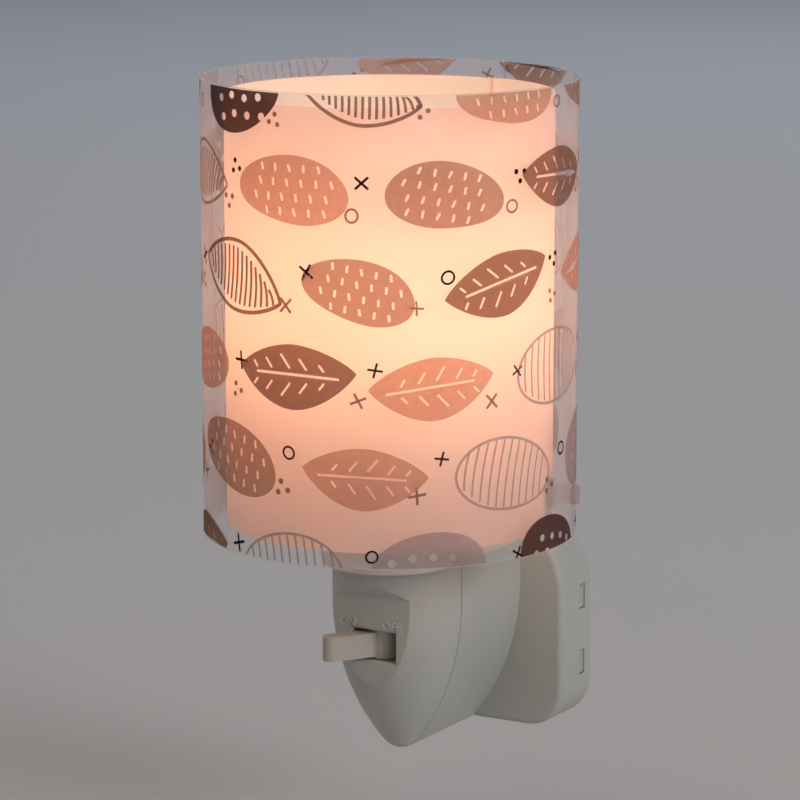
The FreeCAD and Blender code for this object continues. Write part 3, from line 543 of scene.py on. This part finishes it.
# A rolled sheet: one spiral turn whose end laps over its start.
# Angles run from the front (-Y) towards +X.
lap = {
    "angle": math.radians(171), "width": 7 * mm, "ease": 16 * mm, "air": 0.06 * mm,
    "step": math.radians(1.5), "rim": 0.15,  # the rim's round, as a share of the wall
}


def lapLift(angle, radius, wall):
    before = (angle - lap["angle"]) % math.tau
    start = math.tau - (lap["width"] + lap["ease"]) / radius
    along = (before - start) * radius / lap["ease"]
    t = min(max(along, 0.0), 1.0)
    return (wall + lap["air"]) * t * t * (3 - 2 * t)


def onSheet(angle, radius, height):
    return Vector((
        shadeAxis.x + radius * math.sin(angle),
        shadeAxis.y - radius * math.cos(angle),
        height,
    ))


def rolledSheet(name, radius, wall, low, high, slotName, skins):
    mesh = bmesh.new()
    turns = int(math.tau / lap["step"])
    inset = lap["rim"] * wall
    # profile round the wall's section: outer face, rounded rims and inner face
    section = [
        (0, low + inset), (0, high - inset), (-inset, high), (-wall + inset, high),
        (-wall, high - inset), (-wall, low + inset), (-wall + inset, low), (-inset, low),
    ]
    innerFace = 4
    rings = []
    for i in range(turns + 1):
        angle = lap["angle"] + i * math.tau / turns
        lift = lapLift(angle, radius, wall) if i < turns else wall + lap["air"]
        ring = [mesh.verts.new(onSheet(angle, radius + lift + dr, z)) for dr, z in section]
        rings.append(ring)
    for here, there in zip(rings, rings[1:]):
        for k in range(len(section)):
            after = (k + 1) % len(section)
            face = mesh.faces.new((here[k], there[k], there[after], here[after]))
            face.material_index = 1 if k == innerFace else 0
            face.smooth = k in (0, innerFace)
    for ring in (rings[0], rings[-1]):
        mesh.faces.new(ring if ring is rings[0] else ring[::-1])
    bmesh.ops.recalc_face_normals(mesh, faces=mesh.faces)
    data = bpy.data.meshes.new(name)
    mesh.to_mesh(data)
    mesh.free()
    return newPiece(name, data, "shade", slotName, *skins)


sheetWall = 0.5 * mm
filmSheet = rolledSheet(
    "clear_film", filmRadius, sheetWall, filmLow.z, filmHigh.z, "clear_film",
    (clearFilm("PolypropyleneFilmClear", film["haze"]), clearFilm("PolypropyleneFilmInner", 0.0)),
)
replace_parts(filmSheet, "shade_film")
diffuserSheet = rolledSheet(
    "pink_diffuser", diffuserRadius, sheetWall, diffuserLow.z, diffuserHigh.z, "pink_diffuser",
    (pinkDiffuser("PolypropyleneFrostedPink"), innerSkin("PolypropyleneInnerSkin")),
)
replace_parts(diffuserSheet, "shade_diffuser")
print("sheets done")


# The print. Shapes are drawn flat in millimetres, then laid on the film's outer face.
edgePoints = 56


def loop(count, shape):
    return [shape(i / count * math.tau) for i in range(count)]


def leafEdge(long, wide, bend=0.0):
    def point(t):
        x = math.cos(t)
        y = math.sin(t) * (1 - abs(x) ** 1.6) ** 0.35
        return (long * x, wide * y + bend * (x * x - 0.4))
    return loop(edgePoints, point)


def pebbleEdge(long, wide, wobble=0.06):
    def point(t):
        r = 1 + wobble * math.sin(2 * t + 0.7) + wobble * 0.7 * math.sin(3 * t + 2.1)
        return (long * r * math.cos(t), wide * r * math.sin(t))
    return loop(edgePoints, point)


def bar(x, y, long, wide, turn):
    c, s = math.cos(turn), math.sin(turn)
    def point(t):
        px = math.cos(t) * wide / 2 + math.copysign((long - wide) / 2, math.cos(t))
        py = math.sin(t) * wide / 2
        return (x + px * c - py * s, y + px * s + py * c)
    return loop(12, point)


def dot(centre, radius, count):
    return loop(count, lambda t: (
        centre[0] + radius * math.cos(t), centre[1] + radius * math.sin(t)
    ))


def inside(point, edge):
    x, y = point
    hit = False
    for (x1, y1), (x2, y2) in zip(edge, edge[1:] + edge[:1]):
        if (y1 > y) != (y2 > y) and x < (x2 - x1) * (y - y1) / (y2 - y1) + x1:
            hit = not hit
    return hit


# a flat face with holes, in cells about one grid wide so that it can follow the film's round
def fill(edge, holes=(), grid=1.1):
    points, edges = [], []
    for ring in (edge, *holes):
        start = len(points)
        points += [Vector(p) for p in ring]
        edges += [(start + i, start + (i + 1) % len(ring)) for i in range(len(ring))]
    xs, ys = [p[0] for p in edge], [p[1] for p in edge]
    outline = points[:]
    x = min(xs)
    while x < max(xs):
        y = min(ys)
        while y < max(ys):
            if inside((x, y), edge) and not any(inside((x, y), h) for h in holes):
                if min((Vector((x, y)) - p).length for p in outline) > grid * 0.45:
                    points.append(Vector((x, y)))
            y += grid
        x += grid
    verts, _, faces, *_ = delaunay_2d_cdt(points, edges, [], 1, 1e-4)
    kept = []
    for face in faces:
        centre = sum((verts[i] for i in face), Vector((0, 0))) / len(face)
        if inside(centre, edge) and not any(inside(centre, h) for h in holes):
            kept.append(list(face))
    return [tuple(v) for v in verts], kept


def stroke(points, width):
    verts, faces = [], []
    for i, p in enumerate(points):
        before = Vector(points[max(i - 1, 0)])
        after = Vector(points[min(i + 1, len(points) - 1)])
        side = (after - before).normalized().orthogonal() * width / 2
        verts += [tuple(Vector(p) + side), tuple(Vector(p) - side)]
        if i:
            faces.append([2 * i - 2, 2 * i - 1, 2 * i + 1, 2 * i])
    return verts, faces


def line(start, end, step=0.8, wave=0.0):
    start, end = Vector(start), Vector(end)
    count = max(2, int((end - start).length / step))
    across = (end - start).normalized().orthogonal()
    return [
        tuple(start.lerp(end, i / count) + across * wave * math.sin(i / count * math.pi))
        for i in range(count + 1)
    ]


def ringStroke(edge, width):
    return stroke(edge + edge[:1], width)


def joined(*parts):
    verts, faces = [], []
    for partVerts, partFaces in parts:
        start = len(verts)
        verts += partVerts
        faces += [[start + i for i in f] for f in partFaces]
    return verts, faces


def veinedLeaf():
    edge = leafEdge(13.5, 6.6, 1.2)
    holes = [bar(-0.5, -0.2, 19, 0.55, 0.02)]
    for x in (-7.5, -3.5, 0.5, 4.5, 8.0):
        reach = 4.6 * (1 - abs(x) / 15)
        holes.append(bar(x + 1.2, 0.5 + reach * 0.48, reach * 0.8, 0.5, math.radians(52)))
        holes.append(bar(x + 1.2, -0.9 - reach * 0.48, reach * 0.8, 0.5, math.radians(-52)))
    return fill(edge, holes)


def dashedPebble():
    edge = pebbleEdge(12.5, 7.2)
    holes = []
    for row, y in enumerate((-4.4, -1.5, 1.5, 4.4)):
        half = 9.6 * math.sqrt(max(0.0, 1 - (y / 7.6) ** 2))
        x = -half + (1.4 if row % 2 else 0.2)
        while x < half:
            holes.append(bar(x, y, 1.7, 0.62, math.radians(78 + 9 * math.sin(3 * x + y))))
            x += 3.3
    return fill(edge, holes)


def dottedPebble():
    edge = pebbleEdge(12.0, 7.8, -0.05)
    holes = []
    for row, y in enumerate((-4.6, -0.9, 2.9)):
        half = 8.6 * math.sqrt(max(0.0, 1 - (y / 8.0) ** 2))
        x = -half + (2.1 if row % 2 else 0.0)
        while x <= half:
            centre = (x, y + 0.4 * math.sin(x))
            holes.append(dot(centre, 0.85, 10))
            x += 4.1
    return fill(edge, holes)


def hatchedLeaf():
    edge = leafEdge(13.0, 7.0, -1.0)
    strokes = [ringStroke(edge, 0.8)]
    for i in range(15):
        x = -10.6 + i * 1.5
        half = 6.0 * (1 - abs(x / 13) ** 1.8) - 0.5
        if half > 0.8:
            sway = -1.0 * ((x / 13) ** 2 - 0.4)
            hatch = line((x - 0.9, sway - half), (x + 1.1, sway + half), wave=0.3)
            strokes.append(stroke(hatch, 0.62))
    return joined(*strokes)


def stripedPebble():
    edge = pebbleEdge(12.6, 7.9, 0.04)
    strokes = [ringStroke(edge, 0.62)]
    for i in range(11):
        x = -10.4 + i * 2.08
        half = 7.4 * math.sqrt(max(0.0, 1 - (x / 12.8) ** 2))
        strokes.append(stroke(line((x, -half), (x, half), wave=0.35), 0.5))
    return joined(*strokes)


def plusMark():
    return joined(
        stroke(line((-1.7, 0.1), (1.7, -0.1)), 0.5),
        stroke(line((0.1, -1.7), (-0.1, 1.7)), 0.5),
    )


def ringMark():
    return ringStroke(loop(18, lambda t: (1.35 * math.cos(t), 1.25 * math.sin(t))), 0.48)


def dropMark():
    return joined(*(
        fill(dot((1.25 * math.cos(a), 1.25 * math.sin(a)), 0.55, 12), grid=2.0)
        for a in (math.pi / 2, math.pi * 7 / 6, math.pi * 11 / 6)
    ))


inks = {
    "blush": {"colour": "#E6BEAC", "cover": 0.30},
    "taupe": {"colour": "#CFAE9E", "cover": 0.36},
    "umber": {"colour": "#755650", "cover": 0.50},
    "lavender": {"colour": "#D0BEBC", "cover": 0.40},
    "mocha": {"colour": "#AD8A7A", "cover": 0.45},
    "black": {"colour": "#2A1A1C", "cover": 0.85},
}
drawn = {
    "veined": veinedLeaf(),
    "dashed": dashedPebble(),
    "dotted": dottedPebble(),
    "hatched": hatchedLeaf(),
    "striped": stripedPebble(),
    "plus": plusMark(),
    "ring": ringMark(),
    "drops": dropMark(),
}
inkMesh = {ink: bmesh.new() for ink in inks}
# lengths are in mm but for lift and margin, and sway, bob, tilt and grow are how far motifs stray
printing = {
    "lift": 0.06 * mm, "margin": 0.25 * mm, "rows": 6, "columns": 8,
    "sway": 1.5, "bob": 1.2, "tilt": 16, "grow": (0.92, 1.06),
    "marks": {"black": 0.14, "mocha": -0.2},  # the small marks' inks, and how far off the middle
    "markReach": 14, "markSway": 2.5, "markBob": 1, "markGrow": (0.9, 1.15),
}


def stamp(ink, shape, along, up, turn, scale=1.0, flip=1):
    mesh = inkMesh[ink]
    verts, faces = drawn[shape]
    c, s = math.cos(turn), math.sin(turn)
    low, high = filmLow.z + printing["margin"], filmHigh.z - printing["margin"]
    made = []
    for x, y in verts:
        x, y = x * scale * flip, y * scale
        u = along + (x * c - y * s) * mm
        z = min(max(up + (x * s + y * c) * mm, low), high)
        angle = u / filmRadius
        radius = filmRadius + lapLift(angle, filmRadius, sheetWall) + printing["lift"]
        made.append(mesh.verts.new(onSheet(angle, radius, z)))
    for face in faces:
        corner = [made[i] for i in face]
        if len({round(v.co.z, 7) for v in corner}) > 1:
            mesh.faces.new(corner if flip > 0 else corner[::-1])


motifs = [
    ("striped", "lavender"), ("veined", "mocha"), ("dashed", "blush"), ("hatched", "taupe"),
    ("dotted", "lavender"), ("veined", "blush"), ("dashed", "taupe"), ("hatched", "mocha"),
    ("dotted", "umber"),
]
around = math.tau * filmRadius
columnStep = around / printing["columns"]
rowStep = (filmHigh.z - filmLow.z) / (printing["rows"] - 1)


def stray(far):
    return random.uniform(-far, far)


for row in range(printing["rows"]):
    for column in range(printing["columns"]):
        shape, ink = motifs[(row * 5 + column * 4) % len(motifs)]
        along = (column + 0.5 * (row % 2)) * columnStep + stray(printing["sway"]) * mm
        up = filmLow.z + row * rowStep + stray(printing["bob"]) * mm
        tilt = math.radians(stray(printing["tilt"]))
        grow = random.uniform(*printing["grow"])
        stamp(ink, shape, along, up, tilt, grow, random.choice((-1, 1)))
        gap = along + columnStep / 2
        for ink, share in printing["marks"].items():
            mark = random.choice(("plus", "plus", "ring", "drops"))
            stamp(
                ink, mark,
                gap + stray(printing["markSway"]) * mm + share * printing["markReach"] * mm,
                up + share * rowStep + stray(printing["markBob"]) * mm,
                random.uniform(0, math.pi), random.uniform(*printing["markGrow"]),
            )

for ink, facts in inks.items():
    mesh = inkMesh[ink]
    bmesh.ops.dissolve_degenerate(mesh, dist=0.02 * mm, edges=mesh.edges)
    loose = [v for v in mesh.verts if not v.link_faces]
    bmesh.ops.delete(mesh, geom=loose, context="VERTS")
    bmesh.ops.recalc_face_normals(mesh, faces=mesh.faces)
    for face in mesh.faces:
        middle = face.calc_center_median()
        outward = middle - Vector((shadeAxis.x, shadeAxis.y, middle.z))
        if face.normal.dot(outward) < 0:
            face.normal_flip()
        face.smooth = True
    data = bpy.data.meshes.new("print_" + ink)
    mesh.to_mesh(data)
    mesh.free()
    inkFinish = screenInk("ScreenInk" + ink.title(), facts["colour"], facts["cover"])
    newPiece("print_" + ink, data, "shade", "clear_film", inkFinish)
print("print done")


# raised ON and OFF over the switch, each with its place across and its height
lettering = {
    "size": 2.6 * mm,
    "rise": 0.5 * mm,
    "edge": 0.04 * mm,
    "panel": bodyLow.y + 3.0 * mm,
    "words": (("ON", -6.3 * mm, 8.2 * mm), ("OFF", 4.6 * mm, 8.2 * mm)),
}
for word, x, z in lettering["words"]:
    curve = bpy.data.curves.new("letters", "FONT")
    curve.body = word
    curve.size = lettering["size"]
    curve.align_x = "CENTER"
    curve.align_y = "CENTER"
    curve.extrude = lettering["rise"] / 2
    curve.bevel_depth = lettering["edge"]
    curve.bevel_resolution = 1
    text = bpy.data.objects.new("letters", curve)
    scene.collection.objects.link(text)
    bpy.context.view_layer.update()
    mesh = bpy.data.meshes.new_from_object(text)
    bpy.data.objects.remove(text)
    turn = Matrix.Rotation(math.pi / 2, 4, "X")
    place = Matrix.Translation((x, lettering["panel"], z)) @ turn
    mesh.transform(place)
    newPiece("raised_" + word.lower(), mesh, "housing", "housing_plastic", letterHighlightPlastic)
print("letters done")


# floor, background and lights: distances in metres
room = {
    "floorLevel": -54 * mm,
    "floorRadius": 12.0,
    "nearWarmLightColour": "#C8C4C2",
    "farCoolLightColour": "#BEC5D1",
    "nearTo": 0.15,
    "farFrom": 2.4,
    "fibreMm": 2,
    "fibreBump": 0.03,
    "fibreReliefMm": 0.1,
    "behind": "#848C95",
    "ambient": "#EDEDEE",
    "ambientStrength": 0.27,
}
bpy.ops.mesh.primitive_circle_add(
    vertices=96, radius=room["floorRadius"], fill_type="NGON", location=(0, 0, room["floorLevel"]),
)
floor = bpy.context.object
floor.name = "floor"
# matt paper: no sheen, a faint fibre, and painted light: a warm tone near the object turning cool
# far off, for the studio light's colour
floorMaterial, tree, output, coordinates = newMaterial("PaperBackdropGrey")
fibre = addNode(
    tree, "TexNoise", [("Vector", coordinates)], Scale=1 / (room["fibreMm"] * mm), Detail=3.0,
)
relief = addNode(
    tree, "Bump", [("Height", fibre.outputs["Fac"])],
    Strength=room["fibreBump"], Distance=room["fibreReliefMm"] * mm,
)
away = addNode(tree, "VectorMath", [(0, coordinates)], operation="LENGTH")
share = addNode(
    tree, "MapRange", [("Value", away.outputs["Value"])],
    From_Min=room["nearTo"], From_Max=room["farFrom"],
)
tone = addNode(tree, "ValToRGB", [("Fac", share.outputs["Result"])])
tone.color_ramp.elements[0].color = linear(room["nearWarmLightColour"])
tone.color_ramp.elements[1].color = linear(room["farCoolLightColour"])
paper = addNode(
    tree, "BsdfPrincipled",
    [("Base Color", tone.outputs["Color"]), ("Normal", relief.outputs["Normal"])],
    Roughness=0.9,
)
tree.links.new(paper.outputs["BSDF"], output.inputs["Surface"])
floor.data.materials.append(floorMaterial)

world = bpy.data.worlds.new("studio")
scene.world = world
world.use_nodes = True
tree = world.node_tree
tree.nodes.clear()
seen = addNode(tree, "Background", Color=linear(room["behind"]), Strength=1.0)
gives = addNode(tree, "Background", Color=linear(room["ambient"]), Strength=room["ambientStrength"])
# what the camera, gloss and clear parts see behind, apart from the light that the world gives
path = addNode(tree, "LightPath").outputs
shown = path["Is Camera Ray"]
for ray in ("Is Glossy Ray", "Is Transmission Ray"):
    shown = addNode(tree, "Math", [(0, shown), (1, path[ray])], operation="MAXIMUM").outputs[0]
mixed = addNode(
    tree, "MixShader",
    [("Fac", shown), (1, gives.outputs[0]), (2, seen.outputs[0])],
)
output = addNode(tree, "OutputWorld")
tree.links.new(mixed.outputs[0], output.inputs["Surface"])

lamps = {
    "key": {"at": (1.9, -0.5, 0.9), "size": 0.9, "power": 16.0, "colour": "#FBFCFF"},
    "top": {"at": (-0.3, -0.5, 2.2), "size": 1.2, "power": 6.0, "colour": "#FFFBF4"},
    "back": {"at": (-0.6, 2.0, 1.6), "size": 1.2, "power": 10.0, "colour": "#F6FAFF"},
}
# all lamps point at the middle of the object, and only the back one shows in gloss
target = Vector((0, shadeAxis.y, 50 * mm))
for name, facts in lamps.items():
    light = bpy.data.lights.new(name, "AREA")
    light.shape = "DISK"
    light.size = facts["size"]
    light.energy = facts["power"]
    light.color = linear(facts["colour"])[:3]
    lamp = bpy.data.objects.new(name, light)
    scene.collection.objects.link(lamp)
    lamp.location = facts["at"]
    lamp.visible_glossy = name == "back"
    lamp.rotation_euler = (target - lamp.location).to_track_quat("-Z", "Y").to_euler()

# the camera stands where the photograph was taken from: right of the front and a little above
view = {
    "azimuth": 30.41, "distance": 790.69 * mm, "height": 205.86 * mm,
    "pitch": 10.72, "yaw": -0.16, "focalPixels": 3758.2, "framePixels": 800, "sensor": 36.0,
    "nearest": 10 * mm, "farthest": 50,
}
camera = bpy.data.objects.new("camera", bpy.data.cameras.new("camera"))
scene.collection.objects.link(camera)
azimuth = math.radians(view["azimuth"])
camera.location = (
    shadeAxis.x + view["distance"] * math.sin(azimuth),
    shadeAxis.y - view["distance"] * math.cos(azimuth),
    view["height"],
)
camera.rotation_euler = (
    math.radians(90 - view["pitch"]), 0, azimuth + math.radians(view["yaw"]),
)
camera.data.sensor_width = view["sensor"]
camera.data.lens = view["focalPixels"] / view["framePixels"] * view["sensor"]
camera.data.clip_start = view["nearest"]
camera.data.clip_end = view["farthest"]
scene.camera = camera
print("stage done")
